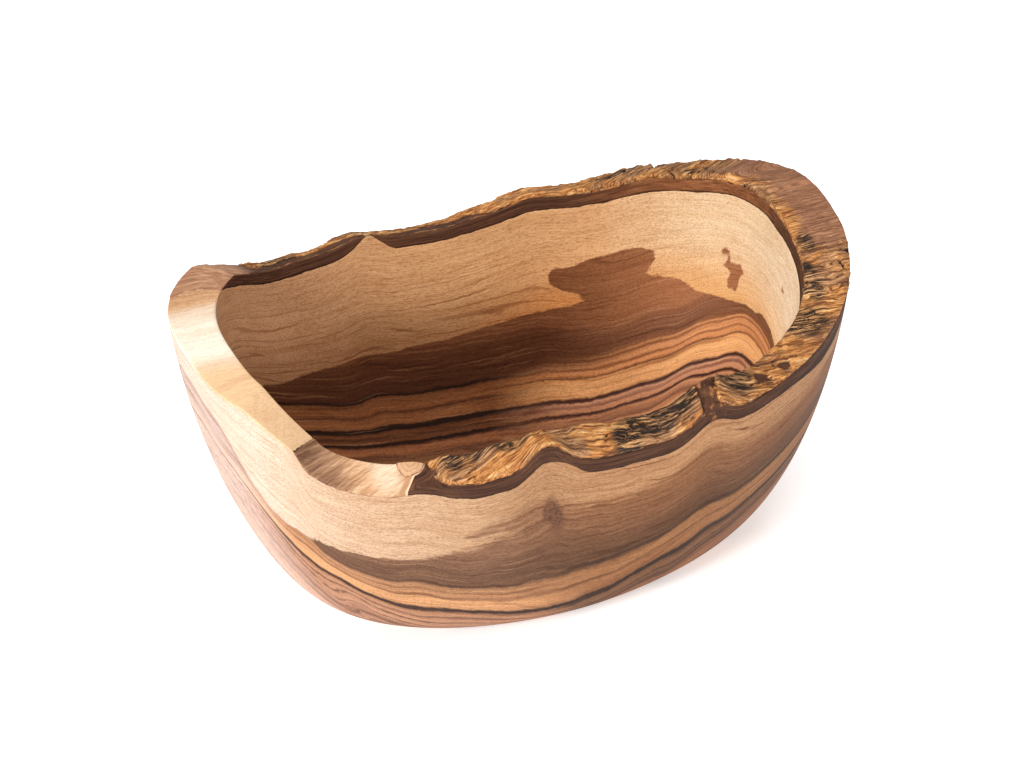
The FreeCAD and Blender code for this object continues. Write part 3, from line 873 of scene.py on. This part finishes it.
def wood_material():
    s = Shader("olive_wood")
    grain = s.attribute("grain", "Vector")
    ring, heart, along = s.attribute("ring"), s.attribute("heart"), s.attribute("along")
    far, knot = s.attribute("far"), s.attribute("knot")
    near = s.math("SUBTRACT", 1.0, far)
    depth = s.node("SeparateXYZ", grain).outputs[1]
    upward = s.upward()
    # lines that follow the rings: cuts through a noise drawn out along the log
    lines = s.node("CombineXYZ", along, ring, 0.0).outputs[0]
    wander = s.noise(lines, (0.10, 0.16, 1.0), 2.0)
    feather = s.times(near, s.step(along, -75.0, -110.0), s.step(ring, 40.0, 52.0))
    tremble = s.noise(lines, (0.34, 0.6, 1.0), 3.0, 0.6)
    shaken = s.add(ring, s.times(s.math("SUBTRACT", wander, 0.5), s.scaled(feather, 5.0, 1.5)))
    shaken = s.add(shaken, s.times(s.math("SUBTRACT", tremble, 0.5), s.scaled(feather, 4.0, 0.9)))
    thread = s.node("CombineXYZ", along, shaken, 0.0).outputs[0]
    broad = s.noise(thread, (0.012, 0.45, 1.0), 3.0)
    fine = s.noise(thread, (0.022, 1.1, 1.0), 3.0, 0.6)
    hair = s.noise(thread, (0.05, 3.2, 1.0), 2.0, 0.6)
    fibre = s.noise(grain, (0.30, 2.2, 2.2), 4.0, 0.7)
    pores = s.noise(grain, (0.9, 3.0, 3.0), 2.0, 0.7)
    mottle = s.noise(grain, (0.05, 0.2, 0.2), 3.0)
    drift = s.noise(thread, (0.012, 0.13, 1.0), 1.0)
    waves = s.math("SINE", s.add(s.times(shaken, 2.0), s.times(drift, 30.0)))
    contour = s.times(s.step(waves, 0.80, 0.98), s.step(s.noise(thread, (0.02, 0.5, 1.0), 1.0), 0.38, 0.58))

    # sapwood: paler towards the lit ends, which is a painted highlight, and darker next to the heartwood
    high_sap = s.ramp(along, HIGH_SAP, -160.0, 160.0)
    # the flat top of the pale end: near white at its far end, which is a painted highlight, and tan further
    # along
    flat = s.mix(s.step(along, -152.0, -136.0), (248, 234, 214), (234, 194, 150))
    low_sap = s.mix(s.step(upward, 0.15, 0.5), s.ramp(along, LOW_SAP, -160.0, 160.0), flat)
    sap = s.mix(far, low_sap, high_sap)
    # deeper under the bark the high wall's sapwood darkens next to the heartwood; the grey darkening on its
    # shaded left is painted shade
    deep = s.times(far, s.step(depth, 17.0, 40.0))
    sap = s.tint(sap, deep, s.mix(s.step(along, -10.0, 60.0), (196, 186, 178), (246, 216, 178)))
    streaked = s.times(s.step(broad, 0.42, 0.62, 0.0, 0.35), s.larger(far, s.step(upward, 0.6, 0.2)))
    sap = s.tint(sap, streaked, (234, 218, 200))
    right = s.times(near, s.step(along, -40.0, 10.0))
    left_high = s.times(far, s.step(along, 60.0, 10.0), s.step(depth, 12.0, 24.0))
    lined = s.larger(s.times(right, 0.85), s.scaled(left_high, 0.50, 0.12))
    sap = s.tint(sap, s.times(contour, lined), (168, 134, 108))
    sap = s.mix(s.times(right, s.step(broad, 0.45, 0.66, 0.0, 0.45)), sap, (156, 112, 76))
    sap = s.tint(sap, s.step(mottle, 0.45, 0.75, 0.0, 0.35), (228, 208, 190))

    to_right = s.mix(s.step(ring, 49.0, 56.0), s.step(along, 30.0, 88.0), s.step(along, 8.0, 54.0))
    high = s.mix(to_right, s.ramp(shaken, HIGH_TONES_LEFT, 0.0, DEEP),
                 s.ramp(shaken, HIGH_TONES_RIGHT, 0.0, DEEP))
    low = s.mix(s.step(along, -44.0, 0.0), s.ramp(shaken, LOW_TONES_LEFT, 0.0, DEEP),
                s.ramp(shaken, LOW_TONES_RIGHT, 0.0, DEEP))
    low = s.tint(low, s.step(along, -60.0, 20.0), (255, 246, 228))
    # painted highlight: towards the pale end the low wall's heartwood is whitened, the more where it is
    # already pale; fine dark lines are kept to the same zone
    sheen_zone = s.step(along, -104.0, -128.0)
    sheen_strength = s.step(s.node("RGBToBW", low).outputs[0], 0.02, 0.12, 0.30, 0.66)
    low = s.mix(s.times(sheen_zone, sheen_strength), low, (238, 214, 202))
    low = s.mix(s.times(sheen_zone, s.step(fine, 0.50, 0.60, 0.0, 0.4)), low, (160, 116, 104))
    core = s.mix(far, low, high)
    core = s.tint(core, s.step(fine, 0.50, 0.66, 0.0, 0.40), (164, 134, 112))
    core = s.tint(core, s.times(contour, 0.34), (140, 110, 92))
    core = s.mix(s.step(fine, 0.44, 0.30, 0.0, 0.22), core, (206, 156, 112))

    edge = s.add(heart, s.scaled(fibre, 1.4, -0.7))
    soft = s.times(near, s.step(along, -85.0, -10.0))
    edge = s.add(edge, s.times(soft, s.scaled(fine, 7.0, -3.5)))
    softness = s.scaled(soft, 2.4, 0.3)
    wood = s.mix(s.step(s.math("DIVIDE", edge, softness), -0.9, 1.1), sap, core)
    # a dark border round the heartwood, kept to the pale end's zone of painted highlight
    border = s.times(near, sheen_zone, s.step(s.math("ABSOLUTE", edge), 1.3, 0.3))
    wood = s.mix(s.times(border, 0.55), wood, (158, 112, 98))
    eye = s.mix(s.step(pores, 0.42, 0.60), (72, 46, 36), (142, 96, 70))
    wood = s.mix(s.step(knot, 0.16, 0.75, 0.0, 0.85), wood, eye)
    grained = s.larger(far, s.step(upward, 0.5, 0.15, 0.45, 1.0))
    wood = s.tint(wood, s.times(s.step(hair, 0.42, 0.68, 0.0, 0.34), grained), (180, 146, 118))
    wood = s.tint(wood, s.times(s.step(fibre, 0.46, 0.66, 0.0, 0.46), grained), (188, 160, 138))
    wood = s.tint(wood, s.times(s.step(pores, 0.52, 0.64, 0.0, 0.46), grained), (160, 128, 102))
    bump = s.add(s.times(fibre, 0.7), s.times(hair, 0.5))
    return s.finish(wood, s.scaled(fibre, 0.22, 0.48), bump, 0.10, 0.12)


def inner_bark_material():
    s = Shader("inner_bark")
    grain = s.attribute("grain", "Vector")
    sanded = s.attribute("sanded")
    x, depth, arc = s.node("SeparateXYZ", grain).outputs[:3]
    layers = s.noise(grain, (0.03, 1.9, 0.3), 4.0, 0.65)
    fibre = s.noise(grain, (0.25, 2.6, 2.6), 4.0, 0.7)
    mottle = s.noise(grain, (0.09, 0.5, 0.16), 3.0)
    dark = s.ramp(layers, [(0.30, (50, 29, 20)), (0.44, (76, 47, 33)), (0.56, (92, 60, 43)),
                           (0.70, (116, 78, 54))])
    red = s.ramp(layers, [(0.30, (84, 48, 30)), (0.44, (122, 74, 45)), (0.56, (148, 94, 58)),
                          (0.70, (176, 120, 80))])
    dark = s.mix(s.times(s.step(x, 30.0, 78.0), s.step(arc, -20.0, 4.0)), dark, red)
    dark = s.tint(dark, s.step(mottle, 0.5, 0.75, 0.0, 0.4), (216, 206, 200))
    # the sanded corner: brown towards the pale end, tan in the middle, nearly white beside the knot
    lean = s.node("CombineXYZ", s.scaled(arc, 0.38, x), depth, s.scaled(x, -0.38, arc)).outputs[0]
    slivers = s.noise(lean, (0.09, 0.4, 0.95), 4.0, 0.6)
    tan = s.ramp(slivers, [(0.30, (164, 118, 86)), (0.46, (196, 150, 112)), (0.60, (216, 174, 134)),
                           (0.74, (230, 196, 160))])
    brown = s.ramp(slivers, [(0.30, (104, 72, 54)), (0.46, (136, 98, 74)), (0.60, (160, 120, 90)),
                             (0.74, (186, 146, 112))])
    far_patch = s.ramp(layers, [(0.30, (140, 98, 74)), (0.5, (174, 127, 96)), (0.7, (202, 158, 124))])
    pale = s.mix(s.step(x, -86.0, -70.0), brown, tan)
    by_knot = s.times(s.step(x, -73.0, -67.0), s.step(x, -60.0, -64.5), s.step(arc, -80.0, -73.0))
    pale = s.mix(s.times(by_knot, 0.7), pale, (232, 206, 178))
    pale = s.mix(s.step(arc, -20.0, -10.0), pale, far_patch)
    sanded = s.times(sanded, s.larger(s.step(arc, -10.0, -20.0), s.step(s.upward(), 0.2, 0.5)))
    bark = s.mix(sanded, dark, pale)
    # golden flakes of crust left on the bare bridge
    flakes = s.step(s.noise(grain, (0.32, 0.6, 0.30), 4.0, 0.65), 0.53, 0.62)
    bridge = s.times(s.step(x, 36.5, 38.5), s.step(x, 47.0, 45.0), s.step(arc, -50.0, -56.0))
    bark = s.mix(s.times(flakes, bridge), bark, (160, 106, 66))
    bark = s.tint(bark, s.step(fibre, 0.45, 0.68, 0.0, 0.45), (160, 132, 112))
    # a pale crack along the edge of the sanding, in a darker border
    line = s.attribute("line")
    bark = s.mix(s.step(line, -0.1, -0.7, 0.0, 0.75), bark, (168, 122, 90))
    bark = s.mix(s.step(line, 0.2, 0.8), bark, (236, 200, 162))
    rim_line = s.times(s.step(depth, 3.4, 4.1), s.math("SUBTRACT", 1.0, sanded))
    bark = s.mix(s.times(rim_line, 0.7), bark, (48, 29, 21))
    return s.finish(bark, s.scaled(fibre, 0.25, 0.55), s.add(fibre, layers), 0.16, 0.12)


def crust_material():
    s = Shader("outer_bark")
    grain = s.attribute("grain", "Vector")
    crack, worn, height, black_patch = (s.attribute(name) for name in ("crack", "worn", "height", "black_patch"))
    wander = s.noise(grain, (0.07, 0.0, 0.25), 2.0)
    shift = s.node("CombineXYZ", 0.0, 0.0, s.times(wander, 2.0)).outputs[0]
    bent = s.node("VectorMath", grain, shift, operation="ADD").outputs[0]
    strands = s.noise(bent, (0.085, 0.7, 1.9), 4.0, 0.66)
    threads = s.noise(bent, (0.30, 1.4, 4.6), 3.0, 0.7)
    patches = s.noise(grain, (0.06, 0.2, 0.13), 3.0)
    rust = s.ramp(strands, [(0.30, (62, 34, 20)), (0.39, (132, 78, 40)), (0.47, (196, 126, 64)),
                            (0.56, (226, 160, 92)), (0.66, (244, 200, 140)), (0.78, (210, 150, 92))])
    grey = s.ramp(strands, [(0.30, (56, 37, 27)), (0.40, (122, 80, 50)), (0.52, (182, 128, 82)),
                            (0.68, (226, 178, 130))])
    bark = s.mix(s.step(patches, 0.48, 0.62), rust, grey)
    # darker where the crust is low over the inner bark: partly its darker under-layer, partly painted shade
    # in the hollows
    bark = s.mix(s.step(height, 0.9, -0.3, 0.0, 0.7), bark, (80, 47, 30))
    brown = s.ramp(strands, [(0.28, (96, 62, 42)), (0.42, (150, 100, 70)), (0.56, (176, 122, 88)),
                             (0.74, (214, 164, 122))])
    bark = s.mix(worn, bark, brown)
    bark = s.tint(bark, s.step(threads, 0.46, 0.64, 0.0, 0.6), (124, 90, 68))
    # black patches, with paler strands through them
    in_black_patch = s.step(black_patch, 0.15, 0.6)
    blackness = s.times(in_black_patch, s.step(s.add(strands, s.times(threads, 0.5)), 0.86, 0.70))
    bark = s.mix(s.times(in_black_patch, s.step(threads, 0.50, 0.60, 0.0, 0.4)), bark, (198, 150, 102))
    # near black in the cracks, which is painted shade, and in the black patches where their strands are low
    bark = s.mix(s.larger(s.step(crack, 0.45, 0.9), blackness), bark, (36, 24, 18))
    return s.finish(bark, s.scaled(threads, 0.3, 0.5), s.add(strands, s.times(threads, 0.8)), 0.55, 0.3)


def knot_material():
    s = Shader("knot_wood")
    share, grain = s.attribute("share"), s.attribute("grain", "Vector")
    wobble = s.noise(grain, (0.5, 0.5, 0.5), 2.0)
    ring = s.add(share, s.scaled(wobble, 0.3, -0.15))
    tone = s.ramp(ring, [(0.0, (136, 92, 64)), (0.10, (170, 124, 88)), (0.18, (198, 152, 112)),
                         (0.38, (182, 136, 98)), (0.46, (202, 158, 118)), (0.66, (184, 138, 100)),
                         (0.74, (206, 164, 124)), (0.90, (196, 150, 112)), (0.96, (150, 104, 74)),
                         (1.0, (122, 84, 60))])
    fibre = s.noise(grain, (2.4, 2.4, 2.4), 3.0)
    tone = s.tint(tone, s.step(fibre, 0.4, 0.7, 0.0, 0.35), (190, 160, 134))
    return s.finish(tone, 0.5, fibre, 0.12, 0.35)


def floor_material():
    s = Shader("pale_floor")
    cloud = s.noise(s.node("TexCoord").outputs["Object"], (3.0, 3.0, 3.0), 2.0)
    return s.finish(s.mix(cloud, (244, 244, 245), (247, 247, 247)), 0.16, cloud, 0.0, 0.5, glow=0.5)


# ---- put the bowl together ----------------------------------------------------------------
def place(mesh, material, node):
    mesh.materials.append(material)
    piece = bpy.data.objects.new(mesh.name, mesh)
    bpy.context.scene.collection.objects.link(piece)
    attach(piece, "root")
    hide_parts(node)


def ends_at(low_side, first, last):
    """Angles of both walls between two values of X."""
    return [(angle_at(wall, first, low_side), angle_at(wall, last, low_side))
            for wall in (outer_wall, inner_wall)]


def crust_start(y):
    """X of the rounded end of the crust on the low side."""
    xs, ys = zip(*LOW_CRUST_START[::-1])
    return np.interp(y, ys, xs)


def ragged(distance, x, y):
    """0 at a broken end of the crust, 1 a few mm away from it."""
    return smooth(distance + 1.5 * noise(x / 3.0, y / 2.2, 51) + 0.8 * noise(x / 1.1, y / 1.0, 52),
                  -0.5, 2.2)


# new meshes take the names of the frame's nodes, so those step aside for the pieces
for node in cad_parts.values():
    if not node.name.startswith("cad_"):
        node.name = "cad_" + node.name

low_first = LOW_CRUST_START[0][0]
low_last, low_next = LOW_CRUST_BREAK
high_last, high_next = HIGH_CRUST_BREAK
around_end = [(angle_at(wall, low_next, True) - TURN, angle_at(wall, high_next, False))
              for wall in (outer_wall, inner_wall)]
# each plate of crust: its name, the angles between which it lies, and how its broken ends taper
CRUST_PLATES = (
    ("bark_crust_front", ends_at(True, low_first - 2.5, low_last + 0.5),
     lambda x, y: ragged(x - crust_start(y) + 2.0, x, y) * ragged(low_last + 1.0 - x, x, y)),
    ("bark_crust_back", ends_at(False, high_next, HIGH_CRUST_START),
     lambda x, y: ragged(x - HIGH_CRUST_START - 3.0, x, y) * ragged(high_next + 1.2 - x, x, y)),
    ("bark_crust_end", around_end,
     lambda x, y: ragged(np.where(y < 0, x - low_next, x - high_last + 0.8), x, y)),
)
place(build_wood(), wood_material(), "wood_body")
place(build_inner_bark(), inner_bark_material(), "inner_bark")
crust = crust_material()
for name, (outer_ends, inner_ends), taper in CRUST_PLATES:
    place(build_crust(name, outer_ends, inner_ends, taper), crust, name)
place(build_knot(), knot_material(), "rim_knot")

# ---- floor, light and camera ----------------------------------------------------------------
FLOOR_HALF = 3.0
FLOOR_CORNERS = [(x * FLOOR_HALF, y * FLOOR_HALF, 0) for x, y in ((-1, -1), (1, -1), (1, 1), (-1, 1))]
KEY_LIGHT = ("key", (-1.3, -0.55, 0.6), 0.5, 18.0)     # name, place, size and power
FILL_LIGHT = ("fill", (0.0, -0.5, 1.5), 0.8, 14.5)
LIGHTS_AIM = Vector((0.0, 0.0, 0.05))
WORLD_LIGHT = 0.45
AZIMUTH, ELEVATION, ROLL = (math.radians(a) for a in (-22.024, 34.536, 1.758))
DISTANCE = 1.6614
TARGET = Vector((0.0, 0.0, 0.033))
FOCAL_LENGTH, SENSOR_WIDTH = 180.3, 36.0
SHIFT = (-0.0088, 0.0806)

floor_mesh = bpy.data.meshes.new("floor")
floor_mesh.from_pydata(FLOOR_CORNERS, [], [(0, 1, 2, 3)])
floor_mesh.materials.append(floor_material())
floor = bpy.data.objects.new("floor", floor_mesh)
scene = bpy.context.scene
scene.collection.objects.link(floor)

world = bpy.data.worlds.new("studio")
world.use_nodes = True
background = world.node_tree.nodes["Background"]
background.inputs["Color"].default_value = (1.0, 1.0, 1.0, 1.0)
background.inputs["Strength"].default_value = WORLD_LIGHT
scene.world = world
scene.view_settings.view_transform = "Standard"

for name, location, size, power in (KEY_LIGHT, FILL_LIGHT):
    lamp = bpy.data.lights.new(name, "AREA")
    lamp.shape, lamp.size, lamp.energy = "DISK", size, power
    light = bpy.data.objects.new(name, lamp)
    light.location = location
    light.rotation_euler = (LIGHTS_AIM - Vector(location)).to_track_quat("-Z", "Y").to_euler()
    scene.collection.objects.link(light)

level = Vector((math.sin(AZIMUTH), -math.cos(AZIMUTH), 0.0))
back = level * math.cos(ELEVATION) + Vector((0.0, 0.0, math.sin(ELEVATION)))
right = Vector((math.cos(AZIMUTH), math.sin(AZIMUTH), 0.0))
up = back.cross(right)
camera_x = right * math.cos(ROLL) - up * math.sin(ROLL)
camera_y = right * math.sin(ROLL) + up * math.cos(ROLL)
lens = bpy.data.cameras.new("camera")
lens.lens, lens.sensor_width = FOCAL_LENGTH, SENSOR_WIDTH
lens.shift_x, lens.shift_y = SHIFT
camera = bpy.data.objects.new("camera", lens)
turn = Matrix((camera_x, camera_y, back)).transposed().to_4x4()
camera.matrix_world = Matrix.Translation(TARGET + back * DISTANCE) @ turn
scene.collection.objects.link(camera)
scene.camera = camera
